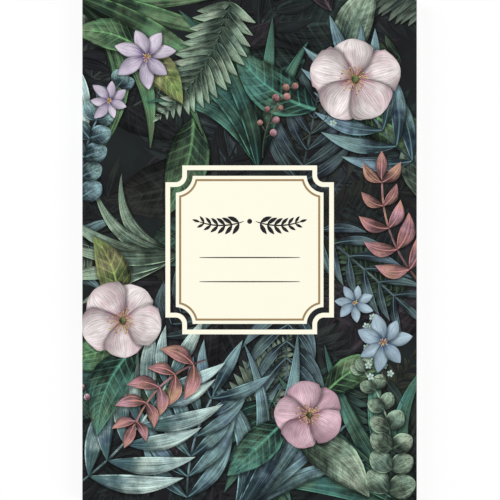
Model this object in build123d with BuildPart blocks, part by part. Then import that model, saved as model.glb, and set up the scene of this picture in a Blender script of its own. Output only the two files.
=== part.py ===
# Address book: a perfect-bound paperback, closed and lying on its back cover.
# X runs from the spine to the fore-edge, Y from the foot to the head, Z up to the front cover.
# The origin is the middle of the back cover's outer face.

import os
from string import ascii_lowercase

from build123d import *

# Trim size and thicknesses of the stock, in millimetres
trim_width = 152.4
trim_height = 228.6
card_thickness = 0.25
film_thickness = 0.03
glue_depth = 0.6
paper_thickness = 0.105
leaf_air = 0.01

# The gutter: each leaf thins towards its root, which stands just off the glue so that it can turn
gutter_length = 3.0
root_clearance = 0.02

# One section for the owner's details, one for each letter and one for notes, from the front cover down
leaves_per_section = 2
section_names = ["owner_leaves"]
section_names += [f"leaves_{letter}" for letter in ascii_lowercase]
section_names += ["notes_leaves"]

# Heights of the stack
leaf_pitch = paper_thickness + leaf_air
section_height = leaves_per_section * leaf_pitch
block_height = len(section_names) * section_height
cover_thickness = card_thickness + film_thickness
book_height = block_height + 2 * cover_thickness

# Places across the book, from the spine's outer face to the fore-edge
spine_x = -trim_width / 2
fore_edge_x = trim_width / 2
film_inner_x = spine_x + film_thickness
card_inner_x = spine_x + cover_thickness
glue_inner_x = card_inner_x + glue_depth
root_x = glue_inner_x + root_clearance

os.makedirs("parts", exist_ok=True)


def draw_panel(left, right):
    # A plain panel of the trim height, drawn in the sketch that is open
    with Locations(((left + right) / 2, 0)):
        Rectangle(right - left, trim_height)


# Back cover: the card that carries the block, and the printed film on its outer face
with BuildPart() as back_film:
    with BuildSketch(Plane.XY):
        draw_panel(film_inner_x, fore_edge_x)
    extrude(amount=film_thickness)
back_film.part.label = "back_film"
export_step(back_film.part, "parts/back_film.step")

with BuildPart() as back_cover:
    with BuildSketch(Plane.XY.offset(film_thickness)):
        draw_panel(card_inner_x, fore_edge_x)
    extrude(amount=card_thickness)
back_cover.part.label = "back_cover"
export_step(back_cover.part, "parts/back_cover.step")

# Spine: the narrow panel between the two creases of the cover, and its printed film
with BuildPart() as spine_film:
    with BuildSketch(Plane.XY):
        draw_panel(spine_x, film_inner_x)
    extrude(amount=book_height)
spine_film.part.label = "spine_film"
export_step(spine_film.part, "parts/spine_film.step")

with BuildPart() as spine_cover:
    with BuildSketch(Plane.XY.offset(film_thickness)):
        draw_panel(film_inner_x, card_inner_x)
    extrude(amount=book_height - 2 * film_thickness)
spine_cover.part.label = "spine_cover"
export_step(spine_cover.part, "parts/spine_cover.step")

# Glue: the hot-melt layer that holds the leaves' roots against the spine panel
with BuildPart() as spine_glue:
    with BuildSketch(Plane.XY.offset(cover_thickness)):
        draw_panel(card_inner_x, glue_inner_x)
    extrude(amount=block_height)
spine_glue.part.label = "spine_glue"
export_step(spine_glue.part, "parts/spine_glue.step")

# Front cover: the same card and film as the back, on top of the block
with BuildPart() as front_cover:
    with BuildSketch(Plane.XY.offset(book_height - cover_thickness)):
        draw_panel(card_inner_x, fore_edge_x)
    extrude(amount=card_thickness)
front_cover.part.label = "front_cover"
export_step(front_cover.part, "parts/front_cover.step")

with BuildPart() as front_film:
    with BuildSketch(Plane.XY.offset(book_height - film_thickness)):
        draw_panel(film_inner_x, fore_edge_x)
    extrude(amount=film_thickness)
front_film.part.label = "front_film"
export_step(front_film.part, "parts/front_film.step")

# Leaf sections: in each, the leaves above the turning line thin downwards to it, those below upwards.
# A section turns about that line, level with its own middle.
for place, section_name in enumerate(section_names):
    section_top = book_height - cover_thickness - place * section_height
    turning_z = section_top - section_height / 2
    with BuildPart() as section:
        for leaf in range(leaves_per_section):
            leaf_top = section_top - leaf * leaf_pitch - leaf_air / 2
            leaf_bottom = leaf_top - paper_thickness
            is_upper = (leaf_top + leaf_bottom) / 2 > turning_z
            near_z = leaf_bottom if is_upper else leaf_top
            far_z = leaf_top if is_upper else leaf_bottom
            with BuildSketch(Plane.XZ.offset(-trim_height / 2)):
                with BuildLine():
                    Polyline(
                        (root_x, near_z),
                        (fore_edge_x, near_z),
                        (fore_edge_x, far_z),
                        (root_x + gutter_length, far_z),
                        close=True,
                    )
                make_face()
            extrude(amount=trim_height)
    section.part.label = section_name
    export_step(section.part, f"parts/{section_name}.step")
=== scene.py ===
import math
import random

import bpy
import numpy as np
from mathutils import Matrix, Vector
from mathutils.geometry import delaunay_2d_cdt


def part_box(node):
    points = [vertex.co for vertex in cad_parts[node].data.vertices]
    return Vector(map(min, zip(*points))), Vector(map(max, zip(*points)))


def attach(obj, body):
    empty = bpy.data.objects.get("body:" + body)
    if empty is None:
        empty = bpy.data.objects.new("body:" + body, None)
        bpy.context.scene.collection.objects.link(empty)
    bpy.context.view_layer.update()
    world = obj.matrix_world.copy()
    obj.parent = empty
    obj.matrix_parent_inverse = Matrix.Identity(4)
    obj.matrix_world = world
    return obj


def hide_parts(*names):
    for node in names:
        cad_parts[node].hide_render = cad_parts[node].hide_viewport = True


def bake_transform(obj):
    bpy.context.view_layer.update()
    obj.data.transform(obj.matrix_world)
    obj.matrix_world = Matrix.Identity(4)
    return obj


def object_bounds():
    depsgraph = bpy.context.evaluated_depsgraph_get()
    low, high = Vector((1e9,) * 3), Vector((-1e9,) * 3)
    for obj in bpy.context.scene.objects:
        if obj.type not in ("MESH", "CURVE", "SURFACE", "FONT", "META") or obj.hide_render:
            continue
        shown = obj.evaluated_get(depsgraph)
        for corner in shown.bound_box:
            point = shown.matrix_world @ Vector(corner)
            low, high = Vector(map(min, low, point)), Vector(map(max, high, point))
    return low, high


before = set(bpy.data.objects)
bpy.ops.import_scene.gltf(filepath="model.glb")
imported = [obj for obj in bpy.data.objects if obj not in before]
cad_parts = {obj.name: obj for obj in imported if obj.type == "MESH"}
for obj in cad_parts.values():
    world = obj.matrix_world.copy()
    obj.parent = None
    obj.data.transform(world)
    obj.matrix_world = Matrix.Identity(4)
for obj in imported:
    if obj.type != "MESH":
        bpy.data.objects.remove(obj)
cadLow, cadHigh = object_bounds()
mm = 0.001  # the print and the stock are drawn in millimetres


# sizes read from the frame

def thickness(node):
    low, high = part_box(node)
    return (high.z - low.z) / mm


book = {
    "left": cadLow.x / mm,
    "right": cadHigh.x / mm,
    "foot": cadLow.y / mm,
    "head": cadHigh.y / mm,
    "tall": cadHigh.z / mm,
    "film": thickness("front_film"),
    "card": thickness("front_cover"),
    "foldRadius": 0.5,  # outer radius of the two creases
    "foldSteps": 5,
}
coverThick = book["film"] + book["card"]
foldTurn = math.pi * book["foldRadius"] / 2  # length of sheet in one crease
spineFlat = book["tall"] - 2 * book["foldRadius"]
frontStart = book["left"] + book["foldRadius"]  # where the front panel's flat begins
spineEnd = frontStart - foldTurn
spineStart = spineEnd - spineFlat
backEnd = spineStart - foldTurn - (book["right"] - frontStart)  # the back panel's fore-edge on the sheet
print("sheet runs from", round(backEnd, 2), "to", round(book["right"], 2), "mm")


def wrapSheet(across, depth):
    # places on the cover sheet, measured across it from the front's middle, turned round the book
    radius = book["foldRadius"]
    beyond = frontStart - across
    pastFront = np.clip(beyond, 0, foldTurn) / radius
    pastBack = np.clip(beyond - foldTurn - spineFlat, 0, foldTurn) / radius
    onFront = beyond <= foldTurn
    onSpine = (beyond > foldTurn) & (beyond <= foldTurn + spineFlat)
    turn = math.pi / 2 + pastFront + pastBack
    centreX = np.where(beyond <= 0, across, frontStart)
    tailX = frontStart + np.maximum(beyond - 2 * foldTurn - spineFlat, 0)
    centreX = np.where(onFront | onSpine, centreX, tailX)
    centreZ = np.where(onFront, book["tall"] - radius, radius)
    downSpine = book["tall"] - radius - (beyond - foldTurn)
    centreZ = np.where(onSpine, downSpine, centreZ)
    reach = radius - depth
    return centreX + reach * np.cos(turn), centreZ + reach * np.sin(turn)


# shader maths as Python expressions

class Wire:
    def __init__(self, tree, socket=None):
        self.tree = tree
        self.socket = socket

    def node(self, kind, settings=None, out=0, **sockets):
        # a socket goes by its name, with _ for a space, or by its number: at0, at1 and so on
        made = self.tree.nodes.new(kind)
        for key, value in (settings or {}).items():
            setattr(made, key, value)
        for key, value in sockets.items():
            place = int(key[2:]) if key.startswith("at") else key.replace("_", " ")
            plug(self.tree, value, made.inputs[place])
        return Wire(self.tree, made.outputs[out])

    def maths(self, operation, *values):
        sockets = {f"at{place}": value for place, value in enumerate(values)}
        return self.node("ShaderNodeMath", {"operation": operation}, **sockets)

    def __add__(self, other):
        return self.maths("ADD", self, other)

    def __radd__(self, other):
        return self.maths("ADD", other, self)

    def __sub__(self, other):
        return self.maths("SUBTRACT", self, other)

    def __rsub__(self, other):
        return self.maths("SUBTRACT", other, self)

    def __mul__(self, other):
        return self.maths("MULTIPLY", self, other)

    def __rmul__(self, other):
        return self.maths("MULTIPLY", other, self)

    def __truediv__(self, other):
        return self.maths("DIVIDE", self, other)

    def __rtruediv__(self, other):
        return self.maths("DIVIDE", other, self)

    def __pow__(self, other):
        return self.maths("POWER", self, other)

    def __rpow__(self, other):
        return self.maths("POWER", other, self)

    def __abs__(self):
        return self.maths("ABSOLUTE", self)

    def within(self, low=0.0, high=1.0):
        return self.node("ShaderNodeClamp", Value=self, Min=low, Max=high)

    def ease(self, low, high):
        settings = {"interpolation_type": "SMOOTHSTEP"}
        return self.node("ShaderNodeMapRange", settings, Value=self, From_Min=low, From_Max=high)

    def stripe(self):
        # how far a value is from halfway between two whole numbers
        return abs(self.maths("FRACT", self) - 0.5)

    def mixOf(self, first, second):
        # a colour: the first where this is 0, the second where it is 1
        return self.node("ShaderNodeMix", {"data_type": "RGBA"}, 2, at0=self, at6=first, at7=second)

    def scaled(self, amount):
        return self.node("ShaderNodeVectorMath", {"operation": "SCALE"}, at0=self, Scale=amount)

    def tint(self, colour):
        # a fixed colour, lighter or darker by this
        return self.node("ShaderNodeVectorMath", {"operation": "SCALE"}, at0=linear(colour), Scale=self)

    def moved(self, other):
        return self.node("ShaderNodeVectorMath", {"operation": "ADD"}, at0=self, at1=other)

    def vector(self, x=0.0, y=0.0, z=0.0):
        return self.node("ShaderNodeCombineXYZ", X=x, Y=y, Z=z)

    def parts(self):
        made = self.node("ShaderNodeSeparateXYZ", at0=self).socket.node
        return [Wire(self.tree, socket) for socket in made.outputs]

    def noise(self, size, detail=3.0, rough=0.6):
        # at this place, with features about size across
        sockets = {"Vector": self, "Scale": 1.0 / size, "Detail": detail, "Roughness": rough}
        return self.node("ShaderNodeTexNoise", {"noise_dimensions": "3D"}, **sockets)

    def attribute(self, name, out=0):
        return self.node("ShaderNodeAttribute", {"attribute_name": name}, out)


asVector, asValue, asAlpha = 1, 2, 3  # an attribute's other outputs


def plug(tree, value, socket):
    if isinstance(value, Wire):
        tree.links.new(value.socket, socket)
    elif isinstance(value, (tuple, list)):
        wide = len(socket.default_value)
        filled = list(value) + [1.0] * (wide - len(value))
        socket.default_value = filled[:wide]
    else:
        socket.default_value = value


def linear(colour):
    # an 8-bit screen colour as scene light
    shares = [value / 255 for value in colour]
    return tuple(s / 12.92 if s <= 0.04045 else ((s + 0.055) / 1.055) ** 2.4 for s in shares)


def newMaterial(name, look, paint=None):
    # paint takes a wire to start from and gives the sockets that vary over the surface
    material = bpy.data.materials.new(name)
    material.use_nodes = True
    tree = material.node_tree
    shader = tree.nodes["Principled BSDF"]
    varied = paint(Wire(tree)) if paint else {}
    for key, value in {**look, **varied}.items():
        plug(tree, value, shader.inputs[key])
    return material


# printed film

filmLook = {"Roughness": 0.34, "Specular IOR Level": 0.2}
edgeLook = {"Roughness": 0.5, "Specular IOR Level": 0.3}
inkLook = {
    "washSize": 9.0,  # blotches of pigment
    "poolSize": 13.0,  # runs of a second hue
    "grainSize": 0.55,  # tooth of the painted paper
    "leafTone": 0.93,
    "leafMarks": {"wash": 0.7, "streak": 1.9, "feather": 2.1, "hair": 2.0, "grain": 0.9},
    "petalTone": 1.02,
    "petalMarks": {"wash": 0.7, "streak": 1.3, "hair": 0.9, "grain": 0.2},
    "sideShare": 0.2,  # how far one half of a leaf is lighter than the other
    "rimShare": 0.5,  # how far the pigment gathers at an edge
    "shadeDepth": 0.68,
    "rimLift": 1.7,  # lit edges over the leaf's own colour
    "veinLift": 2.2,  # how much lighter a vein is than the leaf's tip
    "veinWide": 0.13,  # of the way from one vein to the next
    "petalLineWide": 0.2,
    "midribWide": 0.1,  # of the leaf's half width
    "groundTones": ((27, 27, 31), (31, 38, 37)),
    "groundSize": 26.0,
    "flatSize": 14.0,  # clouds in the label's plain inks
    "edgeTones": ((52, 54, 54), (120, 122, 118)),
    "edgeSize": 1.6,
}


def bladeFields(start):
    # where a point lies on its own painted blade: along it, across it, and what the blade is
    field = {"place": start.attribute("sheetAt", asVector)}
    field["bend"], field["half"], field["early"] = start.attribute("bladeForm", asVector).parts()
    field["count"], field["slant"], field["mid"] = start.attribute("bladeVeins", asVector).parts()
    field["tipFade"], field["edgeLight"], field["drift"] = start.attribute("bladeFinish", asVector).parts()
    field["base"], field["tip"] = start.attribute("inkBase"), start.attribute("inkTip")
    inAlpha = {"bladeForm": "pinch", "bladeVeins": "rim", "inkBase": "seed", "inkTip": "veinShow"}
    for name, key in inAlpha.items():
        field[key] = start.attribute(name, asAlpha)
    along, side, _ = start.attribute("bladeAt", asVector).parts()
    along = along.within(0.001, 0.999)
    aside = side - field["bend"] * 4.0 * along * (1.0 - along)
    swell = start.maths("SINE", (along ** field["early"]) * math.pi)
    width = field["half"] * (swell.within(0.0001, 1.0) ** field["pinch"])
    across = (aside / (width + 0.0005)).within(-1.2, 1.2)
    field["along"], field["across"], field["off"] = along, across, abs(aside)
    # every blade has its own part of each pattern
    seed = field["seed"]
    ownPlace = field["place"].moved(start.vector(seed * 71.0, seed * 37.0))
    field["wash"] = ownPlace.noise(inkLook["washSize"], 3.0, 0.55)
    field["pool"] = ownPlace.noise(inkLook["poolSize"], 2.0, 0.5)
    field["grain"] = field["place"].noise(inkLook["grainSize"], 2.0)
    field["streak"] = start.vector(along * 2.2, across * 6.0, seed * 53.0).noise(1.0)
    field["hair"] = start.vector(along * 3.0, across * 19.0, seed * 29.0).noise(1.0, 2.0)
    return field


def brushed(field, tone, marks):
    # each kind of brush mark lightens and darkens the tone by its own share
    for key, share in marks.items():
        tone = tone + (field[key] - 0.5) * share
    return tone


def inShade(start, colour):
    # darker where a nearer leaf lies over it
    shade = start.attribute("inkShade", asValue).ease(0.0, 1.0)
    return {"Base Color": colour.scaled(1.0 - shade * inkLook["shadeDepth"])}


def leafInk(start):
    field = bladeFields(start)
    along, across, off = field["along"], field["across"], abs(field["across"])
    reach = (along * 1.2 - 0.12 + (field["wash"] - 0.5) * 1.4).ease(0.0, 1.0)
    colour = reach.mixOf(field["base"], field["tip"])
    # a second hue runs into the wash
    turn = 0.5 + (field["pool"] - 0.5) * field["drift"]
    full = 0.42 + field["pool"] * 0.8
    colour = start.node("ShaderNodeHueSaturation", Hue=turn, Saturation=full, Color=colour)
    # brush marks, laid out from the midrib towards the edges
    run = along * field["count"] - off * field["slant"] + (field["hair"] - 0.5) * 0.15
    field["feather"] = start.vector(run * 1.9, off * 1.3, field["seed"] * 71.0).noise(1.0, 3.0, 0.65)
    tone = brushed(field, inkLook["leafTone"] + across * inkLook["sideShare"], inkLook["leafMarks"])
    tone = tone * (1.0 - along.ease(0.66, 1.0) * field["tipFade"])
    # pigment gathers along the shaded edge
    shadeSide = across.ease(0.35, -0.35)
    rim = off.ease(0.6, 1.0) * field["rim"] * (0.4 + shadeSide * 0.8)
    tone = tone * (1.0 - rim * inkLook["rimShare"])
    colour = colour.scaled(tone.within(0.16, 2.2))
    # veins are drawn pale on a dark leaf and dark on a pale one
    line = (1.0 - run.stripe() / inkLook["veinWide"]).within() * (1.0 - off * 0.7)
    line = line * field["veinShow"] * (field["wash"] * 2.2 - 0.5).within(0.1, 1.0)
    thin = 1.15 - along * 0.95
    midrib = 1.0 - field["off"] / (field["half"] * inkLook["midribWide"] * thin + 0.002)
    midrib = midrib.within() * field["mid"] * (0.35 + thin * 0.5)
    level = start.node("ShaderNodeRGBToBW", Color=field["tip"]).ease(0.24, 0.42)
    drawn = level.mixOf(field["tip"].scaled(inkLook["veinLift"]), field["base"])
    colour = (line * 0.85 + midrib * 0.9).within().mixOf(colour, drawn)
    # light catches one edge, the grain and the finest strokes
    edge = off.ease(0.8, 0.93) * (1.0 - shadeSide) * field["wash"].ease(0.36, 0.6)
    fleck = field["grain"].ease(0.6, 0.72) * reach
    gloss = field["hair"].ease(0.54, 0.64) * field["streak"].ease(0.44, 0.58) * (0.25 + reach)
    lit = ((edge + fleck * 0.5 + gloss * 0.6) * field["edgeLight"]).within()
    return inShade(start, lit.mixOf(colour, field["tip"].scaled(inkLook["rimLift"])))


def petalInk(start):
    field = bladeFields(start)
    along, across, off = field["along"], field["across"], abs(field["across"])
    streak = field["streak"] - 0.5
    throat = (1.0 - along * 2.2 + streak * 1.6).ease(0.0, 1.0)
    flush = (field["pool"].ease(0.4, 0.66) * 0.7 + off.ease(0.5, 1.0) * 0.4 + streak * 1.2).within()
    colour = (flush * 0.5).mixOf(field["tip"], field["base"])
    colour = throat.mixOf(colour, field["base"])
    # fine lines fan out from the throat
    fan = across * field["count"] + streak * 1.8
    line = (1.0 - fan.stripe() / inkLook["petalLineWide"]).within()
    line = line * field["veinShow"] * (1.0 - along * 0.75) * (0.2 + field["wash"] * 1.2)
    spot = field["grain"].ease(0.6, 0.68) * along.ease(0.62, 0.2)
    colour = (line * 0.85 + spot * 0.5).within().mixOf(colour, field["base"].scaled(0.75))
    # the far side and the edges are darker
    tone = brushed(field, inkLook["petalTone"], inkLook["petalMarks"])
    under = across.ease(0.25, -1.0) * field["edgeLight"]
    rim = off.ease(0.8, 1.0) * field["rim"] * 0.3 + along.ease(0.9, 1.0) * field["rim"] * 0.15
    tone = tone * (1.0 - rim.within()) * (1.0 - under * (1.0 - along * 0.45))
    return inShade(start, colour.scaled(tone.within(0.22, 1.35)))


def groundInk(start):
    place = start.attribute("sheetAt", asVector)
    share = place.noise(inkLook["groundSize"]).ease(0.35, 0.75)
    colour = share.mixOf(*map(linear, inkLook["groundTones"]))
    return {"Base Color": colour.scaled(0.92 + place.noise(inkLook["grainSize"], 2.0) * 0.16)}


def flatInk(colour, mottle):
    # one colour, a little uneven
    def paint(start):
        place = start.attribute("sheetAt", asVector)
        cloud, grain = place.noise(inkLook["flatSize"]), place.noise(inkLook["grainSize"], 2.0)
        tone = brushed({"cloud": cloud, "grain": grain}, 1.0, {"cloud": mottle, "grain": mottle})
        return {"Base Color": tone.tint(colour)}
    return paint


def filmEdge(start):
    share = start.attribute("sheetAt", asVector).noise(inkLook["edgeSize"], 2.0, 0.5).ease(0.4, 0.7)
    return {"Base Color": share.mixOf(*map(linear, inkLook["edgeTones"]))}


filmInks = {
    "groundInk": groundInk,
    "leafInk": leafInk,
    "petalInk": petalInk,
    "creamInk": flatInk((254, 251, 231), 0.02),
    "goldInk": flatInk((158, 132, 94), 0.1),
    "lineInk": flatInk((40, 38, 42), 0.1),
}
filmMaterials = [newMaterial(name, filmLook, paint) for name, paint in filmInks.items()]
filmMaterials.append(newMaterial("filmEdge", edgeLook, filmEdge))
inkOrder = {material.name: place for place, material in enumerate(filmMaterials)}
print("printed film inks:", ", ".join(inkOrder))


# painted shapes, in millimetres on the cover sheet

groundColour = (27, 28, 31)
palette = {
    "deepTeal": ((22, 43, 39), (72, 122, 104)),
    "forest": ((28, 47, 35), (94, 136, 90)),
    "sage": ((48, 66, 56), (144, 172, 144)),
    "moss": ((46, 53, 32), (130, 140, 82)),
    "blueGrey": ((32, 52, 60), (124, 164, 170)),
    "paleAqua": ((62, 98, 102), (186, 214, 206)),
    "mauve": ((42, 33, 41), (116, 90, 104)),
    "coral": ((96, 62, 62), (186, 126, 120)),
    "stem": ((58, 68, 56), (108, 116, 90)),
    "blush": ((150, 92, 116), (240, 232, 230)),
    "rose": ((120, 62, 90), (226, 194, 204)),
    "lavender": ((92, 74, 124), (222, 212, 226)),
    "steel": ((50, 80, 114), (176, 198, 210)),
    "pollen": ((140, 92, 44), (214, 180, 104)),
}
bladeForms = {
    "plain": {
        "early": 1.0,  # below 1, widest nearer the root
        "pinch": 1.0,  # 0 for an even width, 1 for sharp ends
        "ripple": 0.0,  # share of the width, and how many
        "ripples": 5,
        "veins": (0.0, 1.0, 0.0),  # how many, their slant, and how strong the midrib is
        "veinShow": 0.0,
        "rim": 1.0,
        "ink": "leafInk",
        "finish": (0.2, 0.6, 0.3),  # how dark the tip, how lit the edges, how far the hue runs
    },
    "stem": {"pinch": 0.0, "rim": 0.4},
    "thread": {"pinch": 0.0},
    "bead": {"pinch": 0.5},
    "broad": {"early": 0.82, "pinch": 0.86, "ripple": 0.02, "veinShow": 0.9},
    "frond": {"early": 0.75, "pinch": 0.8, "veins": (0.0, 1.0, 0.7)},
    "spray": {"early": 0.9, "pinch": 0.95, "veins": (0.0, 1.0, 0.8)},
    "coin": {"pinch": 0.56, "veins": (5.0, 1.2, 0.8), "veinShow": 0.35},
    "coinTip": {"pinch": 0.6, "veins": (0.0, 1.0, 0.8)},
    "strap": {"early": 0.72, "pinch": 0.75, "veins": (0.0, 1.0, 0.25), "rim": 1.1,
              "finish": (0.55, 0.9, 0.3)},
    "petal": {"early": 1.5, "pinch": 0.58, "ripple": 0.06, "veins": (9.0, 1.0, 0.0), "veinShow": 0.9,
              "ink": "petalInk", "finish": (0.0, 0.5, 0.0)},
    "starPetal": {"early": 1.1, "pinch": 0.8, "veins": (5.0, 1.0, 0.0), "veinShow": 1.0,
                  "ink": "petalInk", "finish": (0.0, 0.4, 0.0)},
    "tinyPetal": {"early": 1.3, "pinch": 0.6, "ink": "petalInk", "finish": (0.0, 0.3, 0.0)},
}


def dimmed(inkName, share):
    # an ink seen through the shade under the leaves above it
    return [tuple(a + (b - a) * share for a, b in zip(groundColour, colour)) for colour in palette[inkName]]


def towards(heading):
    return np.array([math.cos(heading), math.sin(heading)])


def bentOutline(steps, bend, half, early, pinch, ripple=None, more=0.0):
    # up one side of a bent middle line and down the other, along and across
    share = 0.5 - 0.5 * np.cos(np.linspace(0, math.pi, steps + 1))
    swell = half * np.clip(np.sin(math.pi * share ** early), 0, 1) ** pinch + more
    if ripple:
        amount, count, seed = ripple
        swell = swell * (1 + amount * np.sin(share * count * 2 * math.pi + seed * 40))
    middle = bend * 4 * share * (1 - share)
    upper = np.stack([share, middle + swell], 1)
    lower = np.stack([share, middle - swell], 1)[::-1]
    isPointed = pinch > 0 and not more
    return np.concatenate([upper, lower[1:-1] if isPointed else lower])


def bladePoints(at, heading, length, width, bend, early=1.0, pinch=1.0, ripple=None):
    along = towards(heading)
    across = np.array([-along[1], along[0]])
    steps = max(5, min(20, int(length / 1.7) + 4))  # a longer blade has more points
    outline = bentOutline(steps, bend, width / 2 / length, early, pinch, ripple)
    points = np.array(at) + length * (outline[:, :1] * along + outline[:, 1:] * across)
    return points, along / length, across / length


def blade(dice, at, heading, length, width, inks, kind="plain", bend=0.0, **changes):
    # every leaf, petal, stem and berry is one of these
    form = {**bladeForms["plain"], **bladeForms[kind], **changes}
    early, pinch = form["early"], form["pinch"]
    seed = dice.random()
    ripple = (form["ripple"], form["ripples"], seed)
    points, along, across = bladePoints(at, heading, length, width, bend, early, pinch, ripple)
    return {
        "points": points, "origin": np.array(at, float), "along": along, "across": across,
        "form": (bend, width / 2 / length, early, pinch), "veins": (*form["veins"], form["rim"]),
        "inks": inks, "seed": seed, **{key: form[key] for key in ("veinShow", "ink", "finish")},
    }


shadow = {
    "shift": np.array((0.35, -0.45)),
    "least": 0.5,
    "share": 0.25,  # of the blade's own half width
    "most": 2.2,
    "narrowest": 0.9,  # half width that still casts one
    "steps": 12,
}


def castShadow(shape):
    # a soft-edged copy of a blade, a little wider and moved away from the light
    half, length = shape["form"][1], 1.0 / np.hypot(*shape["along"])
    reach = min(shadow["most"], shadow["least"] + shadow["share"] * half * length) / length
    outline = bentOutline(shadow["steps"], *shape["form"], more=reach)
    origin = shape["origin"] + shadow["shift"]
    points = origin + (outline[:, :1] * shape["along"] + outline[:, 1:] * shape["across"]) * length ** 2
    return {**shape, "points": points, "origin": origin, "reach": reach, "soft": True}


def withShadows(shapes):
    for shape in shapes:
        if shape["form"][1] / np.hypot(*shape["along"]) > shadow["narrowest"]:
            yield castShadow(shape)
        yield shape


def strand(at, heading, length, bend, share):
    # a point on a bent stem, and its heading there
    along = towards(heading)
    across = np.array([-along[1], along[0]])
    point = np.array(at) + length * (share * along + bend * 4 * share * (1 - share) * across)
    return point, heading + math.atan(bend * 4 * (1 - 2 * share))


def strands(at, heading, length, bend, first, run, count):
    # such points one after another, with how far along each is
    for place in range(count):
        share = first + run * place / (count - 1)
        yield share, *strand(at, heading, length, bend, share)


def broadLeaf(at, heading, length, width, inks, dice, bend):
    veins = (round(length / 5.5) + 2, 1.6, 1.0)
    yield blade(dice, at, heading, length, width, inks, "broad", bend, veins=veins)


def fernFrond(at, heading, length, reach, inks, dice, bend, pairs):
    yield blade(dice, at, heading, length * 0.97, 0.8, inks, "stem", bend)
    for share, point, turn in strands(at, heading, length, bend, 0.1, 0.88, pairs):
        size = reach * math.sin(math.pi * (0.24 + 0.74 * share)) ** 0.9
        for side in (-1, 1):
            lean = side * (1.15 - 0.45 * share) + dice.uniform(-0.06, 0.06)
            yield blade(dice, point, turn + lean, size, size * 0.3, inks, "frond", -side * 0.07)
    yield blade(dice, point, turn, reach * 0.3, reach * 0.1, inks)


def leafSpray(at, heading, length, leafSize, inks, dice, bend, pairs, slim, splay=0.62, droop=0.08):
    yield blade(dice, at, heading, length * 0.98, 0.9, inks, "stem", bend)
    for share, point, turn in strands(at, heading, length, bend, 0.12, 0.8, pairs):
        for side in (-1, 1):
            size = leafSize * (1.05 - 0.35 * share) * dice.uniform(0.85, 1.12)
            lean = side * (splay + dice.uniform(-0.1, 0.1))
            yield blade(dice, point, turn + lean, size, size * slim, inks, "spray", side * droop)
    point, turn = strand(at, heading, length, bend, 0.95)
    yield blade(dice, point, turn, leafSize * 0.75, leafSize * 0.75 * slim, inks, "spray")


def coinSprig(at, heading, length, coin, inks, dice, bend, pairs=7):
    yield blade(dice, at, heading, length, 0.8, inks, "stem", bend)
    for share, point, turn in strands(at, heading, length, bend, 0.06, 0.9, pairs):
        for side in (-1, 1):
            size = coin * (1.08 - 0.5 * share) * dice.uniform(0.9, 1.1)
            lean = side * (1.05 - 0.3 * share) + dice.uniform(-0.15, 0.15)
            yield blade(dice, point, turn + lean, size, size * 0.86, inks, "coin")
    yield blade(dice, point, turn, coin * 0.55, coin * 0.42, inks, "coinTip")


def strapTuft(at, heading, length, width, inks, dice, bend, count=6):
    # long arching leaves from one foot, the outer ones shorter and more bent
    order = sorted(range(count), key=lambda place: -abs(place - (count - 1) / 2))
    for place in order:
        spread = (place - (count - 1) / 2) / count
        size = length * (1.0 - 0.5 * abs(spread)) * dice.uniform(0.88, 1.08)
        yield blade(dice, at, heading + spread * 1.7, size, width * dice.uniform(0.8, 1.15), inks,
                    "strap", bend - spread * 0.3)


def mistSprig(at, heading, length, inks, dice, bend, count=13):
    # fine branching stems with tiny pale flowers
    yield blade(dice, at, heading, length, 0.45, palette["stem"], "stem", bend)
    for place, (share, point, turn) in enumerate(strands(at, heading, length, bend, 0.3, 0.7, count)):
        turn += (0.8 if place % 2 else -0.8) * (1.15 - 0.7 * share) + dice.uniform(-0.2, 0.2)
        reach = length * dice.uniform(0.1, 0.2) * (1.2 - 0.5 * share)
        end = point + reach * towards(turn)
        yield blade(dice, point, turn, reach, 0.3, palette["stem"], "thread", 0.05)
        for petal in range(5):
            yield blade(dice, end, turn + petal * 2 * math.pi / 5, 1.7, 1.2, inks, "tinyPetal")
        yield blade(dice, end - 0.25, 0.8, 0.7, 0.7, palette["pollen"], "bead")


def berrySprig(at, heading, length, inks, dice, bend, count=9):
    yield blade(dice, at, heading, length, 0.6, palette["stem"], "stem", bend)
    for place, (share, point, turn) in enumerate(strands(at, heading, length, bend, 0.25, 0.75, count)):
        lean = (0.9 if place % 2 else -0.9) * (1.1 - 0.6 * share)
        reach = 5.0 * (1.15 - 0.6 * share)
        end = point + reach * towards(turn + lean)
        yield blade(dice, point, turn + lean, reach, 0.4, palette["stem"], "thread")
        size = dice.uniform(2.6, 3.6)
        yield blade(dice, end - size / 2 * towards(turn), turn, size, size, inks, "bead")


goldenTurn = 2.39996  # between one stamen and the next


def openBlossom(at, radius, inks, dice, turn, petals=5, stamens=22):
    for place in range(petals):
        heading = turn + place * 2 * math.pi / petals + dice.uniform(-0.1, 0.1)
        length = radius * dice.uniform(0.9, 1.08)
        yield blade(dice, at, heading, length, length * dice.uniform(0.94, 1.1), inks, "petal",
                    dice.uniform(-0.06, 0.06), ripples=dice.choice((6, 7, 9)))
    gold = palette["pollen"]
    for place in range(stamens):
        heading = place * goldenTurn + turn
        length = radius * (0.16 + 0.17 * dice.random())
        tip = np.array(at) + length * towards(heading)
        yield blade(dice, at, heading, length, 0.32, gold, "thread")
        yield blade(dice, tip - 0.35, heading, 1.0, 0.85, gold, "bead")
    eye = radius * 0.16
    yield blade(dice, (at[0] - eye / 2, at[1]), 0.0, eye, eye, palette["moss"], "bead")


def starFlower(at, radius, inks, dice, turn, petals=7, stamens=9):
    for place in range(petals):
        heading = turn + place * 2 * math.pi / petals + dice.uniform(-0.1, 0.1)
        length = radius * dice.uniform(0.85, 1.1)
        yield blade(dice, at, heading, length, length * dice.uniform(0.42, 0.54), inks, "starPetal",
                    dice.uniform(-0.07, 0.07))
    for place in range(stamens):
        length = radius * (0.1 + 0.1 * dice.random())
        yield blade(dice, at, place * goldenTurn, length, 0.5, palette["pollen"], "bead")


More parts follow.
